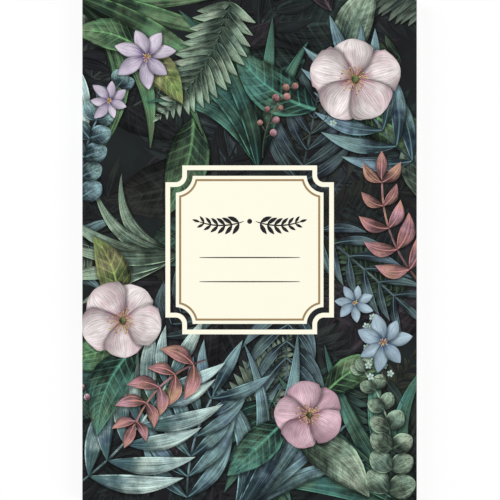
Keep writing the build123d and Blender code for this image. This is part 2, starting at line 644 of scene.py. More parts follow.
# the botanical print: shaded leaves at the back, then paler ones, then the flowers

layout = {
    "seed": 20417,
    "backStep": 27.0,
    "middleStep": 40.0,
    "rowShare": 0.87,  # of a step, from one row to the next
    "spread": 0.42,  # of a step, that a plant may stand off its place
    "margin": 18.0,
    "backShare": (0.0, 0.26),  # how far an ink shows through the shade
    "middleShare": (0.35, 0.85),
    "middleBend": 0.14,
}
backInks = ["deepTeal", "forest", "deepTeal", "sage", "moss", "mauve", "blueGrey"]
backPlants = [  # chance up to, plant, length, size, bend, and what else the plant takes
    (0.4, fernFrond, (48, 72), (15, 21), 0.12, [13]),
    (0.75, broadLeaf, (40, 66), (17, 27), 0.12, []),
    (1.0, leafSpray, (44, 60), (22, 32), 0.1, [6, 0.2]),
]
middlePlants = [  # chance up to, plant, inks, length, size, and what else the plant takes
    (0.3, broadLeaf, ["forest", "deepTeal", "moss", "sage"], (34, 56), (15, 24), []),
    (0.55, fernFrond, ["deepTeal", "forest", "sage"], (42, 62), (13, 18), [14]),
    (0.8, leafSpray, ["blueGrey", "paleAqua", "blueGrey", "deepTeal"], (40, 60), (24, 34), [6, 0.19]),
    (0.92, coinSprig, ["blueGrey", "sage"], (38, 54), (9, 12), []),
    (1.0, broadLeaf, ["mauve"], (26, 40), (9, 13), []),
]


def places(step, dice):
    # a loose grid over the whole sheet
    margin, spread = layout["margin"], layout["spread"]
    found = []
    row = 0
    y = book["foot"] - margin
    while y < book["head"] + margin:
        x = backEnd - margin + (step / 2 if row % 2 else 0.0)
        while x < book["right"] + margin:
            across = dice.uniform(-spread, spread) * step
            found.append((x + across, y + dice.uniform(-spread, spread) * step))
            x += step
        y += step * layout["rowShare"]
        row += 1
    dice.shuffle(found)
    return found


def pick(rows, chance):
    return next(row[1:] for row in rows if chance < row[0])


def shadedLayer(dice):
    for at in places(layout["backStep"], dice):
        share = dice.uniform(*layout["backShare"])
        inks = dimmed(dice.choice(backInks), share)
        heading = dice.uniform(0, 2 * math.pi)
        plant, longs, sizes, bend, more = pick(backPlants, dice.random())
        yield from plant(at, heading, dice.uniform(*longs), dice.uniform(*sizes), inks, dice,
                         dice.uniform(-bend, bend), *more)


def middleLayer(dice):
    for at in places(layout["middleStep"], dice):
        share = dice.uniform(*layout["middleShare"])
        heading = dice.uniform(0, 2 * math.pi)
        bend = dice.uniform(-layout["middleBend"], layout["middleBend"])
        plant, names, longs, sizes, more = pick(middlePlants, dice.random())
        inks = dimmed(dice.choice(names) if len(names) > 1 else names[0], share)
        yield from plant(at, heading, dice.uniform(*longs), dice.uniform(*sizes), inks, dice, bend, *more)


# listed one by one for the front, from the cover's middle, and again for the back
frontHeroes = [
    ("strap", (-80, 116), 5.6, 92, 8.5, "forest", 0.08),
    ("strap", (4, 38), 1.9, 78, 8.0, "deepTeal", -0.08),
    ("strap", (80, -120), 2.25, 98, 9.0, "deepTeal", 0.06),
    ("strap", (-6, -120), 1.1, 84, 8.0, "blueGrey", -0.06),
    ("strap", (-32, -2), 2.9, 64, 7.5, "sage", 0.1),
    ("leaf", (30, 64), 2.5, 46, 20, "deepTeal", 0.1),
    ("leaf", (50, 68), -0.45, 42, 18, "forest", -0.1),
    ("leaf", (44, 86), 1.2, 38, 17, "sage", 0.08),
    ("spray", (80, 36), 2.2, 60, 36, "blueGrey", 0.08),
    ("mist", (24, 50), 0.95, 40, "paleAqua", -0.08),
    ("blossom", (48, 78), 20, "blush", 0.3),
    ("spray", (-28, -120), 1.35, 58, 38, "blueGrey", 0.08),
    ("spray", (-80, -108), 0.85, 68, 44, "paleAqua", -0.06),
    ("leaf", (-50, -34), 3.5, 42, 19, "forest", 0.12),
    ("leaf", (-52, -44), 4.3, 44, 18, "deepTeal", -0.1),
    ("leaf", (-60, -26), 1.9, 34, 15, "moss", -0.1),
    ("blossom", (-58, -32), 18, "blush", 1.0),
    ("leaf", (22, -86), 5.6, 42, 18, "sage", 0.1),
    ("leaf", (16, -78), 3.9, 36, 16, "deepTeal", 0.0),
    ("leaf", (34, -66), 0.5, 34, 14, "forest", 0.1),
    ("blossom", (27, -75), 15.5, "rose", 0.6),
    ("coin", (-77, 20), 1.25, 60, 12, "blueGrey", 0.1),
    ("coin", (62, -114), 1.75, 62, 12, "sage", -0.12),
    ("fern", (-8, 120), 4.2, 68, 18, "sage", 0.1),
    ("leaf", (-56, 92), 5.5, 36, 15, "moss", 0.1),
    ("leaf", (-50, 92), 2.9, 32, 14, "forest", -0.1),
    ("star", (-47, 88), 14, "lavender", 0.2),
    ("star", (-64, 68), 9.5, "lavender", 0.5),
    ("mist", (70, -70), 2.0, 38, "paleAqua", 0.08),
    ("star", (61, -42), 13, "steel", 0.1),
    ("star", (48, -24), 8.5, "steel", 0.4),
    ("coral", (77, -14), 1.9, 52, 17, "coral", 0.1),
    ("coral", (-20, -50), 3.9, 46, 16, "coral", -0.12),
    ("berry", (6, 42), 1.2, 34, "coral", 0.1),
    ("berry", (-71, -78), 1.9, 30, "rose", 0.1),
]
backHeroes = [
    ("strap", (80, 118), 3.8, 92, 8.5, "deepTeal", 0.08),
    ("strap", (-80, 20), 0.4, 84, 8.0, "forest", -0.08),
    ("strap", (40, -120), 1.7, 90, 8.5, "blueGrey", 0.08),
    ("leaf", (-40, 60), 0.6, 46, 20, "deepTeal", 0.1),
    ("leaf", (-46, 52), 3.6, 42, 19, "forest", -0.1),
    ("mist", (-30, 66), 1.2, 40, "paleAqua", 0.08),
    ("blossom", (-44, 62), 20, "blush", 0.8),
    ("spray", (74, 100), 4.2, 64, 40, "paleAqua", 0.06),
    ("spray", (-78, -20), 0.3, 60, 40, "blueGrey", -0.08),
    ("leaf", (34, -30), 5.4, 46, 20, "sage", 0.1),
    ("leaf", (26, -38), 3.4, 44, 18, "deepTeal", 0.0),
    ("blossom", (30, -34), 18, "rose", 0.2),
    ("leaf", (-44, -84), 2.0, 38, 17, "moss", 0.1),
    ("blossom", (-40, -88), 16, "blush", 0.1),
    ("coin", (10, 10), 1.4, 62, 12, "blueGrey", 0.1),
    ("coin", (62, -102), 2.2, 60, 12, "sage", 0.12),
    ("fern", (-70, 114), 5.4, 66, 18, "sage", 0.1),
    ("star", (40, 70), 14, "lavender", 0.2),
    ("star", (56, 52), 9.5, "lavender", 0.5),
    ("star", (-12, -66), 13, "steel", 0.1),
    ("star", (-64, -50), 9, "steel", 0.3),
    ("coral", (4, -114), 1.9, 52, 17, "coral", 0.1),
    ("coral", (75, 14), 2.7, 46, 16, "coral", -0.12),
    ("berry", (-10, 80), 1.1, 34, "coral", 0.1),
    ("mist", (50, 0), 2.0, 40, "paleAqua", 0.08),
]
heroPlants = {  # what draws each kind, and what else that takes
    "leaf": (broadLeaf, []),
    "fern": (fernFrond, [17]),
    "spray": (leafSpray, [6, 0.2]),
    "coral": (leafSpray, [5, 0.42, 0.8, 0.12]),
    "coin": (coinSprig, []),
    "strap": (strapTuft, []),
    "mist": (mistSprig, []),
    "berry": (berrySprig, []),
    "blossom": (openBlossom, []),
    "star": (starFlower, []),
}


def heroLayer(rows, middle, dice):
    for kind, (x, y), *sizes, inkName, bend in rows:
        plant, more = heroPlants[kind]
        yield from plant((middle + x, y), *sizes, palette[inkName], dice, bend, *more)


def botanicalPrint():
    dice = random.Random(layout["seed"])
    shapes = list(shadedLayer(dice))
    shapes += withShadows(middleLayer(dice))
    backMiddle = backEnd + (book["right"] - book["left"]) / 2
    shapes += withShadows(heroLayer(backHeroes, backMiddle, dice))
    shapes += withShadows(heroLayer(frontHeroes, 0.0, dice))
    return shapes


# the label plaque: a cream band and a cream plate with cut-in corners, and a fine gold line

plaque = {
    "middle": (0.08, 0.06),
    "halfWide": 38.37,
    "halfTall": 38.46,
    "cornerIn": 4.6,  # centre of a corner's arc, in from the corner
    "cornerRadius": 3.06,  # of the band's outer outline
    "bandIn": 2.14,
    "plateIn": 4.74,
    "goldIn": 6.21,
    "goldWide": 0.96,
    "arcSteps": 10,
}


def plaqueOutline(inset):
    # the band's outline moved inwards, with each corner's arc about the same centre
    radius = plaque["cornerRadius"] + inset
    trim = math.asin(max(0.0, inset - plaque["cornerIn"]) / radius)
    barTop = plaque["cornerIn"] - inset
    corner = []
    for step in range(plaque["arcSteps"] + 1):
        angle = math.pi + trim + (math.pi / 2 - 2 * trim) * step / plaque["arcSteps"]
        corner.append((radius * math.cos(angle), radius * math.sin(angle)))
    if barTop > 0:
        corner = [(-radius, barTop), *corner, (barTop, -radius)]
    x, y = plaque["halfWide"] - plaque["cornerIn"], plaque["halfTall"] - plaque["cornerIn"]
    points = [(x + a, y + b) for a, b in corner]
    points += [(x + a, -y - b) for a, b in reversed(corner)]
    points += [(-x - a, -y - b) for a, b in corner]
    points += [(-x - a, y + b) for a, b in reversed(corner)]
    return np.array(points) + np.array(plaque["middle"])


def plainShape(ink, points=(), hole=None):
    # a shape in one plain ink, with nothing of a blade
    nowhere = np.zeros(2)
    return {
        "points": np.array(points), "hole": hole, "origin": nowhere, "along": nowhere, "across": nowhere,
        "form": (0.0, 1.0, 1.0, 1.0), "veins": (0.0, 0.0, 0.0, 0.0), "veinShow": 0.0,
        "inks": (groundColour, groundColour), "seed": 0.0, "ink": ink, "finish": (0.0, 0.0, 0.0),
    }


label = {
    "sprigAt": 13.0,  # above the plaque's middle
    "sprigFrom": 2.6,  # its foot, off the bud's middle
    "sprigLong": 21.0,
    "sprigBend": 0.09,
    "leafLong": 6.4,
    "leafSlim": 0.34,
    "leafLean": 0.75,
    "leafPairs": 6,
    "rulesAt": (-3.5, -14.5),
    "ruleLong": 46.0,
    "ruleWide": 0.55,
    "stemWide": 0.7,
    "budWide": 2.4,
}


def inkStroke(at, heading, length, width, pinch, bend=0.0):
    return plainShape("lineInk", bladePoints(at, heading, length, width, bend, 1.0, pinch)[0])


def labelOrnament():
    # a line-drawn sprig to each side of a bud, over two lines to write a name on
    middleX, middleY = plaque["middle"]
    budY = middleY + label["sprigAt"]
    leafLong, lean, bud = label["leafLong"], label["leafLean"], label["budWide"]
    for side in (1, -1):
        root = (middleX + side * label["sprigFrom"], budY)
        sprig = (root, 0.0 if side > 0 else math.pi, label["sprigLong"])
        bend = -label["sprigBend"] * side
        yield inkStroke(*sprig, label["stemWide"], 0.25, bend)
        for share, point, turn in strands(*sprig, bend, 0.1, 0.76, label["leafPairs"]):
            size = leafLong * (1.0 - 0.45 * share)
            for aside in (lean, -lean):
                yield inkStroke(point, turn + aside, size, size * label["leafSlim"], 0.9, 0.06 * aside)
        point, turn = strand(*sprig, bend, 0.95)
        yield inkStroke(point, turn, leafLong * 0.6, leafLong * 0.2, 0.9)
    yield inkStroke((middleX - bud / 2, budY), 0.0, bud, bud, 0.5)
    for height in label["rulesAt"]:
        start = (middleX - label["ruleLong"] / 2, middleY + height)
        yield inkStroke(start, 0.0, label["ruleLong"], label["ruleWide"], 0.2)


def labelPlaque():
    gold = plaque["goldIn"]
    yield plainShape("creamInk", plaqueOutline(0.0), plaqueOutline(plaque["bandIn"]))
    yield plainShape("creamInk", plaqueOutline(plaque["plateIn"]))
    yield plainShape("goldInk", plaqueOutline(gold), plaqueOutline(gold + plaque["goldWide"]))
    yield from labelOrnament()


# the partition: the painted shapes become one flat sheet with no overlaps

partition = {
    "cell": 4.0,  # of the grid that finds the points under a shape
    "steps": 3,  # how finely each side of an outline is tried
    "halvings": 7,
    "digits": 4,  # that outlines are rounded to
    "weld": 0.002,
    "least": 1e-9,  # of a triangle's area
    "underWeld": 1e-4,
}


def inRing(ring, at):
    # which points an outline goes round
    x, y = at[:, :1], at[:, 1:]
    nextX, nextY = np.roll(ring[:, 0], -1), np.roll(ring[:, 1], -1)
    rise = nextY - ring[:, 1]
    rise = np.where(rise == 0, 1e-12, rise)
    meets = ring[:, 0] + (nextX - ring[:, 0]) * (y - ring[:, 1]) / rise
    crossed = ((ring[:, 1] > y) != (nextY > y)) & (x < meets)
    return crossed.sum(1) % 2 == 1


def gridOf(at):
    # a grid over the points, and a look-up of those in the cells that a box touches
    cell = partition["cell"]
    low = at.min(0)
    column, row = ((at - low) / cell).astype(int).T
    columns, rows = column.max() + 1, row.max() + 1
    key = row * columns + column
    order = np.argsort(key, kind="stable")
    starts = np.searchsorted(key[order], np.arange(columns * rows + 1))

    def lookUp(nearest, furthest):
        first = np.maximum(((nearest - low) / cell).astype(int), 0)
        last = np.minimum(((furthest - low) / cell).astype(int), (columns - 1, rows - 1))
        if (last < first).any() or (furthest < low).any():
            return np.empty(0, int)
        rowStarts = np.arange(first[1], last[1] + 1) * columns
        return np.concatenate([order[starts[r + first[0]]:starts[r + last[0] + 1]] for r in rowStarts])

    return lookUp


def topShape(shapes, at, above):
    # for each point the last shape painted over it, if that comes after the shape numbered above
    lookUp = gridOf(at)
    found = np.full(len(at), -1)
    for number in range(len(shapes) - 1, -1, -1):
        shape = shapes[number]
        if shape.get("soft"):
            continue
        nearest, furthest = shape["points"].min(0), shape["points"].max(0)
        some = lookUp(nearest, furthest)
        some = some[(found[some] < 0) & (above[some] < number)]
        some = some[((at[some] >= nearest) & (at[some] <= furthest)).all(1)]
        if not len(some):
            continue
        inside = inRing(shape["points"], at[some])
        if shape.get("hole") is not None:
            inside &= ~inRing(shape["hole"], at[some])
        found[some[inside]] = number
    return found


def shadeOn(shapes, at, below):
    # how far each point, painted with the shape numbered below, lies in the shade of a later one
    lookUp = gridOf(at)
    shade = np.zeros(len(at))
    for number, shape in enumerate(shapes):
        if not shape.get("soft"):
            continue
        some = lookUp(shape["points"].min(0), shape["points"].max(0))
        some = some[below[some] < number]
        offset = at[some] - shape["origin"]
        bend, half, early, pinch = shape["form"]
        run = offset @ shape["along"]
        along = np.clip(run, 0.001, 0.999)
        width = half * np.sin(math.pi * along ** early) ** pinch
        aside = np.abs(offset @ shape["across"] - bend * 4 * along * (1 - along)) - width
        gap = np.maximum(aside, 0) + np.abs(run - along)
        shade[some] = np.maximum(shade[some], 1 - np.minimum(gap / shape["reach"], 1))
    return shade


def shownSides(shapes):
    # the stretches of every outline that nothing later covers
    rings = [(number, shape[key]) for number, shape in enumerate(shapes) for key in ("points", "hole")
             if shape.get(key) is not None]
    begin = np.concatenate([ring for _, ring in rings])
    finish = np.concatenate([np.roll(ring, -1, axis=0) for _, ring in rings])
    owner = np.concatenate([np.full(len(ring), number) for number, ring in rings])
    steps = partition["steps"]
    shares = np.linspace(0, 1, steps + 1)
    tried = begin[:, None] + (finish - begin)[:, None] * shares[None, :, None]
    hidden = topShape(shapes, tried.reshape(-1, 2), np.repeat(owner, steps + 1)) >= 0
    hidden = hidden.reshape(-1, steps + 1)
    whole = ~hidden.any(1)
    sides = [np.stack([begin[whole], finish[whole]], 1)]
    # where a side goes under a shape, halve the step until the crossing is found
    for step in range(steps):
        left, right = hidden[:, step], hidden[:, step + 1]
        both = ~whole & ~left & ~right
        sides.append(np.stack([tried[both, step], tried[both, step + 1]], 1))
        crossing = ~whole & (left != right)
        ends = tried[crossing, step], tried[crossing, step + 1]
        startsUnder = left[crossing, None]
        seen = np.where(startsUnder, ends[1], ends[0])
        under = np.where(startsUnder, ends[0], ends[1])
        start = seen.copy()
        for _ in range(partition["halvings"]):
            middle = (seen + under) / 2
            isUnder = (topShape(shapes, middle, owner[crossing]) >= 0)[:, None]
            under = np.where(isUnder, middle, under)
            seen = np.where(isUnder, seen, middle)
        sides.append(np.stack([start, under], 1))
    return np.concatenate(sides)


def layFlat(shapes, low, high, cuts):
    # one stretch of the sheet as triangles, with the shape and the shade on each
    foot, head = book["foot"], book["head"]
    corner, farCorner = np.array((low, foot)), np.array((high, head))
    near = [shape for shape in shapes
            if (shape["points"].max(0) > corner).all() and (shape["points"].min(0) < farCorner).all()]
    sides = shownSides(near)
    outside = ((sides < corner).all(1) | (sides > farCorner).all(1)).any(1)
    sides = sides[~outside].reshape(-1, 2)
    points, index = np.unique(np.round(sides, partition["digits"]), axis=0, return_inverse=True)
    edges = index.reshape(-1, 2)
    edges = edges[edges[:, 0] != edges[:, 1]].tolist()
    points = points.tolist()
    for cut in cuts:
        edges.append([len(points), len(points) + 1])
        points += [(cut, foot), (cut, head)]
    panel = list(range(len(points), len(points) + 4))
    points += [(low, foot), (high, foot), (high, head), (low, head)]
    points = [Vector(point) for point in points]
    flat, _, triangles, *_ = delaunay_2d_cdt(points, edges, [panel], 1, partition["weld"], False)
    place = np.array([(p.x, p.y) for p in flat])
    corners = np.array(triangles)
    middles = place[corners].mean(1)
    corners = corners[((middles > corner) & (middles < farCorner)).all(1)]
    corners = squareUp(place, corners, corner, farCorner)
    used, corners = np.unique(corners, return_inverse=True)
    place, corners = place[used], corners.reshape(-1, 3)
    found = topShape(near, place[corners].mean(1), np.full(len(corners), -1))
    shade = shadeOn(near, place[corners].reshape(-1, 2), np.repeat(found, 3))
    return place, corners, [near[number] if number >= 0 else None for number in found], shade


def borderRing(corners):
    # the border's points in turn, from the sides that only one triangle has
    sides = np.concatenate([corners[:, [0, 1]], corners[:, [1, 2]], corners[:, [2, 0]]])
    _, which, count = np.unique(np.sort(sides, axis=1), axis=0, return_inverse=True, return_counts=True)
    border = sides[count[which.ravel()] == 1]
    following = dict(border.tolist())
    ring = [int(border[0, 0])]
    while following[ring[-1]] != ring[0]:
        ring.append(following[ring[-1]])
    return np.array(ring)


def squareUp(place, corners, nearest, furthest):
    # border points go exactly onto the trim and the folds, and triangles that this flattens go
    ring = borderRing(corners)
    for line in (nearest, furthest):
        close = np.abs(place[ring] - line) < partition["weld"] * 1.05
        place[ring] = np.where(close, line, place[ring])
    a, b, c = (place[corners[:, k]] for k in range(3))
    area = (b - a)[:, 0] * (c - a)[:, 1] - (b - a)[:, 1] * (c - a)[:, 0]
    return corners[area > partition["least"]]


def underSide(place, ring, cuts):
    # a plain underside for the sheet, cut only along the folds
    points = [Vector(p) for p in place[ring]]
    edges = []
    for cut in cuts:
        ends = [np.hypot(*(place[ring] - (cut, end)).T).argmin() for end in (book["foot"], book["head"])]
        edges.append([int(end) for end in ends])
    panel = list(range(len(points)))
    _, _, triangles, sources, *_ = delaunay_2d_cdt(points, edges, [panel], 1, partition["underWeld"], True)
    onRing = [source[0] for source in sources]
    return [[onRing[k] for k in triangle] for triangle in triangles]


# the printed sheet: one piece for each panel, bent round the creases

sheetMap = {  # left, low, wide and tall on the picture that each face is baked into
    "print": (0.01, 0.01, 0.955, 0.98),
    "under": (0.97, 0.01, 0.01, 0.98),
    "across": (0.995, 0.01, -0.01, 0.48),  # the film's own edges, along the head and foot
    "upright": (0.995, 0.51, -0.01, 0.48),
}


def mapSheet(at, loopFace, isLow, topCount, underCount, low, high):
    x, y = ((at - (low, book["foot"])) / (high - low, book["head"] - book["foot"])).T
    isPrint, isEdge = loopFace < topCount, loopFace >= topCount + underCount
    runsAcross = (y < 1e-6) | (y > 1 - 1e-6)
    spots = np.empty((len(at), 2), np.float32)
    for kind, across, up, these in (("print", x, y, isPrint), ("under", x, y, ~isPrint & ~isEdge),
                                    ("across", isLow, x, isEdge & runsAcross),
                                    ("upright", isLow, y, isEdge & ~runsAcross)):
        left, bottom, wide, tall = sheetMap[kind]
        spots[these] = np.stack([left + wide * across, bottom + tall * up], 1)[these]
    return spots


def setAttribute(mesh, name, kind, domain, values):
    slot = {"FLOAT_VECTOR": "vector", "FLOAT_COLOR": "color", "FLOAT": "value"}[kind]
    layer = mesh.attributes.new(name, kind, domain)
    layer.data.foreach_set(slot, np.ascontiguousarray(values, dtype=np.float32).ravel())


def newPiece(name, mesh, materials):
    for material in materials:
        mesh.materials.append(material)
    piece = bpy.data.objects.new(name, mesh)
    bpy.context.scene.collection.objects.link(piece)
    return piece


def paintFaces(mesh, painted):
    # each face takes the material of its ink, and what its own blade is
    mesh.polygons.foreach_set("material_index", [inkOrder[shape["ink"]] for shape in painted])
    faceColours = {
        "inkBase": [(*linear(shape["inks"][0]), shape["seed"]) for shape in painted],
        "inkTip": [(*linear(shape["inks"][1]), shape["veinShow"]) for shape in painted],
        "bladeForm": [shape["form"] for shape in painted],
        "bladeVeins": [shape["veins"] for shape in painted],
    }
    for key, values in faceColours.items():
        setAttribute(mesh, key, "FLOAT_COLOR", "FACE", values)
    setAttribute(mesh, "bladeFinish", "FLOAT_VECTOR", "FACE", [shape["finish"] for shape in painted])


def filmPiece(name, shapes, low, high, cuts):
    place, corners, shapeOf, shade = layFlat(shapes, low, high, cuts)
    ring = borderRing(corners)
    under = underSide(place, ring, cuts)
    count, topCount = len(place), len(corners)
    sheetAt = np.concatenate([place, place[ring]])
    x, z = wrapSheet(sheetAt[:, 0], np.repeat((0.0, book["film"]), (count, len(ring))))
    # the printed face, the plain underside, then the film's own edge all round
    faces = corners.tolist()
    faces += [[count + k for k in reversed(triangle)] for triangle in under]
    for k in range(len(ring)):
        after = (k + 1) % len(ring)
        faces.append([ring[k], count + k, count + after, ring[after]])
    mesh = bpy.data.meshes.new(name)
    mesh.from_pydata((np.stack([x, sheetAt[:, 1], z], 1) * mm).tolist(), [], faces)
    setAttribute(mesh, "sheetAt", "FLOAT_VECTOR", "POINT", np.pad(sheetAt, ((0, 0), (0, 1))))
    ground, edge = plainShape("groundInk"), plainShape("filmEdge")
    painted = [shape or ground for shape in shapeOf]
    painted += [edge] * (len(faces) - topCount)
    paintFaces(mesh, painted)
    # where each corner lies on its own blade, and on the sheet's map
    loopPoint = np.empty(len(mesh.loops), np.int32)
    mesh.loops.foreach_get("vertex_index", loopPoint)
    loopFace = np.repeat(np.arange(len(faces)), [len(face) for face in faces])
    origin, along, across = (np.array([shape[key] for shape in painted])[loopFace]
                             for key in ("origin", "along", "across"))
    offset = sheetAt[loopPoint] - origin
    bladeAt = np.stack([(offset * along).sum(1), (offset * across).sum(1), np.zeros(len(offset))], 1)
    setAttribute(mesh, "bladeAt", "FLOAT_VECTOR", "CORNER", bladeAt)
    setAttribute(mesh, "inkShade", "FLOAT", "CORNER", np.pad(shade, (0, len(loopPoint) - len(shade))))
    spots = mapSheet(sheetAt[loopPoint], loopFace, loopPoint >= count, topCount, len(under), low, high)
    mesh.uv_layers.new(name="OFBake").data.foreach_set("uv", spots.ravel())
    mesh.update()
    print(name, "has", len(faces), "faces, of which", topCount, "are printed")
    return newPiece(name, mesh, filmMaterials)


creases = {"front": (book["tall"], 1), "back": (0.0, -1)}  # how high each is, and which way is outwards


def dress(piece, panel, node):
    # a piece on the spine is attached to the spine's body, and one that goes round a crease keeps its place
    # as built; either way the frame's own part is hidden
    if panel in creases:
        z, way = creases[panel]
        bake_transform(piece)
    else:
        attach(piece, panel)
    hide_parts(node)


paintedShapes = botanicalPrint()
frontShapes = [*paintedShapes, *labelPlaque()]
print("painted shapes:", len(paintedShapes))
foldCuts = [foldTurn * step / book["foldSteps"] for step in range(book["foldSteps"])]
filmPanels = {
    "front": (frontShapes, spineEnd, book["right"], [frontStart - cut for cut in foldCuts]),
    "spine": (paintedShapes, spineStart, spineEnd, []),
    "back": (paintedShapes, backEnd, spineStart, [spineStart - foldTurn + cut for cut in foldCuts]),
}
for panel, stretch in filmPanels.items():
    dress(filmPiece(panel + "Print", *stretch), panel, panel + "_film")


# cover card: white board, a little fibrous, with a rounded outer crease and a square inner one

cardStock = {
    "colour": (243, 241, 234),
    "cloudSize": 22.0,
    "fibreSize": 0.7,
    "marks": {"cloud": 0.05, "fibre": 0.09},  # how far each changes the tone
    "innerSteps": 4,  # points beside the crease on the inner face
    "innerReach": 0.55,
}
cardLook = {"Roughness": 0.72, "Specular IOR Level": 0.3}


def cardBoard(start):
    place = start.attribute("restAt", asVector)
    fibre = place.noise(cardStock["fibreSize"], 3.0, 0.65)
    field = {"cloud": place.noise(cardStock["cloudSize"]), "fibre": fibre}
    bump = start.node("ShaderNodeBump", Strength=0.12, Distance=0.00004, Height=fibre)
    return {"Base Color": brushed(field, 1.0, cardStock["marks"]).tint(cardStock["colour"]), "Normal": bump}


def panelProfile(upward):
    # the board's section across the front, from the crease round to its inner face
    left, right, radius = book["left"], book["right"], book["foldRadius"]
    inner, curve = left + coverThick, radius - book["film"]
    points = []
    for step in range(book["foldSteps"] + 1):
        angle = math.pi - math.pi / 2 * step / book["foldSteps"]
        points.append((left + radius + curve * math.cos(angle), curve * math.sin(angle) - radius))
    points += [(right, -book["film"]), (right, -coverThick)]
    steps = cardStock["innerSteps"]
    points += [(inner + cardStock["innerReach"] * k / steps, -coverThick) for k in range(steps, -1, -1)]
    points += [(inner, -radius)]
    if upward:
        return [(x, book["tall"] + z) for x, z in points]
    return [(x, -z) for x, z in reversed(points)]


def spineProfile():
    outer, inner = book["left"] + book["film"], book["left"] + coverThick
    low, high = book["foldRadius"], book["tall"] - book["foldRadius"]
    return [(outer, low), (outer, high), (inner, high), (inner, low)]


def prism(name, profile, material):
    # a section in x and z, run from the foot to the head
    count = len(profile)
    points = [(x * mm, y * mm, z * mm) for y in (book["foot"], book["head"]) for x, z in profile]
    faces = [[k, (k + 1) % count, (k + 1) % count + count, k + count] for k in range(count)]
    faces += [list(range(count - 1, -1, -1)), list(range(count, 2 * count))]
    mesh = bpy.data.meshes.new(name)
    mesh.from_pydata(points, [], faces)
    setAttribute(mesh, "restAt", "FLOAT_VECTOR", "POINT", np.array(points) / mm)
    mesh.update()
    return newPiece(name, mesh, [material])


boardMaterial = newMaterial("cardBoard", cardLook, cardBoard)
boardProfiles = {"front": panelProfile(True), "back": panelProfile(False), "spine": spineProfile()}
for panel, profile in boardProfiles.items():
    dress(prism(panel + "Board", profile, boardMaterial), panel, panel + "_cover")
print("cover boards made")


# hot-melt glue on the spine

glueStock = {
    "tones": ((226, 212, 176), (240, 232, 208)),
    "runSize": 0.004,  # in metres, as the glue's own coordinates are
}
glueLook = {"Roughness": 0.38, "Specular IOR Level": 0.45}


def hotMelt(start):
    run = start.node("ShaderNodeTexCoord", out=3).noise(glueStock["runSize"])
    bump = start.node("ShaderNodeBump", Strength=0.3, Distance=0.0001, Height=run)
    return {"Base Color": run.ease(0.35, 0.7).mixOf(*map(linear, glueStock["tones"])), "Normal": bump}


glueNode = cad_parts["spine_glue"]
glueNode.data.materials.clear()
glueNode.data.materials.append(newMaterial("hotMelt", glueLook, hotMelt))
print("spine glue coloured")


# leaves: a stack of sheets for each section

leafStock = {
    "paper": (246, 244, 236),
    "rule": (150, 158, 172),
    "cloudSize": 30.0,
    "fibreSize": 0.6,
    "marks": {"cloud": 0.04, "fibre": 0.06},  # how far each changes the tone
    "ruleGap": 11.5,  # between entry lines
    "ruleWide": 0.28,
    "entryLines": 4.0,  # an entry begins with a stronger one
    "gutterMargin": 16.0,
    "edgeMargin": 10.0,
    "headMargin": 22.0,
    "cutEdge": 0.25,  # how far in from the trim the painted shade on the cut edges reaches
    "leaves": 2,
    "divisions": 22,
    "crowding": 2.4,  # of points towards the gutter
    "ragged": 0.00006,  # how far a sheet may stop short at its edges
    "bendStart": 0.0003,
    "bendLength": 0.009,  # of each leaf beside the glue
    "seed": 400,
}
leafLook = {"Roughness": 0.78, "Specular IOR Level": 0.22}


def pagePaper(start):
    place = start.attribute("restAt", asVector)
    x, y, z = place.parts()
    cloud, fibre = place.noise(leafStock["cloudSize"]), place.noise(leafStock["fibreSize"], 3.0, 0.65)
    tone = brushed({"cloud": cloud, "fibre": fibre}, 1.0, leafStock["marks"])
    # the cut edges are darker: painted shade of the gaps between the sheets, in stripes that differ from
    # sheet to sheet, so one sheet shows from the next
    sheetGapShade = start.vector(x * 0.012, y * 0.012, z * 1.7).noise(1.0, 3.0, 0.7)
    nearFore = (x - (book["right"] - leafStock["cutEdge"])).ease(0.0, 0.1)
    nearEnd = (abs(y) - (book["head"] - leafStock["cutEdge"])).ease(0.0, 0.1)
    sheet = start.attribute("sheetTone", asValue)
    # painted shade: darker at the cut edges, by an amount that differs from sheet to sheet
    tone = tone - (nearFore + nearEnd).within() * (0.03 + sheet * 0.16 + (sheetGapShade - 0.5) * 0.55)
    # ruled entries inside the margins
    gutter = book["left"] + leafStock["gutterMargin"]
    edge = book["right"] - leafStock["edgeMargin"]
    top = book["head"] - leafStock["headMargin"]
    inside = x.ease(gutter, gutter + 0.1) * x.ease(edge, edge - 0.1) * abs(y).ease(top, top - 0.1)
    run = y / leafStock["ruleGap"] + 100.0  # kept above zero
    halfWide = leafStock["ruleWide"] * 0.5
    line = (run.stripe() * leafStock["ruleGap"]).ease(halfWide + 0.08, halfWide)
    entry = start.maths("FRACT", start.maths("FLOOR", run) / leafStock["entryLines"]).ease(0.12, 0.1)
    line = line * inside * (0.6 + entry * 0.4)
    return {"Base Color": line.mixOf(linear(leafStock["paper"]), linear(leafStock["rule"])).scaled(tone)}


